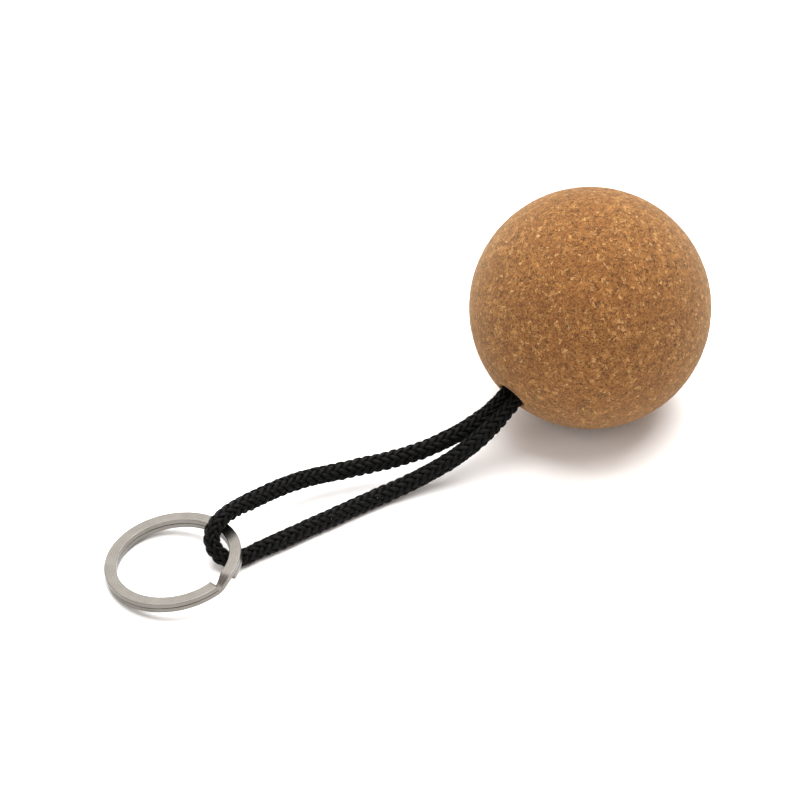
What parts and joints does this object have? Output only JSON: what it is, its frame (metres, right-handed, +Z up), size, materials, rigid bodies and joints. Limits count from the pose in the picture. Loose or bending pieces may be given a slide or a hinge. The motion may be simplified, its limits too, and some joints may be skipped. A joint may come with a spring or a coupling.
{
  "type": "floating key ring",
  "caption": "Floating key ring: a round cork ball on a knotted loop of black braided cord that carries a flat steel split ring.",
  "frame": {"origin": "on the floor, midway along the length from the split ring to the ball", "axes": "+X runs from the split ring to the ball, +Z is up from the floor the ball and ring lie on"},
  "size_m": [0.1393, 0.05, 0.05],
  "materials": {
    "cork": "matte turned agglomerated cork",
    "braided_cord": "round braid of black polyester yarn",
    "ring_steel": "satin nickel-plated flat spring wire"
  },
  "bodies": {
    "ball": {"cork_ball": "cork"},
    "cord_stem": {"cord_in_bore": "braided_cord", "cord_knot": "braided_cord", "cord_tails": "braided_cord"},
    "cord_loop": {"cord_rear_strand": "braided_cord", "cord_front_strand": "braided_cord"},
    "cord_end": {"cord_bight": "braided_cord"},
    "ring": {"split_ring": "ring_steel"}
  },
  "joints": [
    {"name": "cord_turn", "type": "hinge", "parent": "ball", "child": "cord_stem", "pos_m": [0.04451, 0, 0.025], "axis": [-0.8845, -0.18, -0.4304], "range_deg": [-120, 120]},
    {"name": "cord_flex", "type": "hinge", "parent": "cord_stem", "child": "cord_loop", "pos_m": [0.01974, -0.00504, 0.01295], "axis": [-0.1994, 0.9799, 0], "range_deg": [-45, 60]},
    {"name": "bight_swing", "type": "hinge", "parent": "cord_loop", "child": "cord_end", "pos_m": [-0.036, -0.00105, 0.00453], "axis": [0, 0.8249, 0.5652], "range_deg": [-60, 75]},
    {"name": "ring_turn", "type": "hinge", "parent": "cord_end", "child": "ring", "pos_m": [-0.0556, -0.0006, 0.00219], "axis": [-0.1198, 0.1006, 0.9877], "continuous": true}
  ]
}
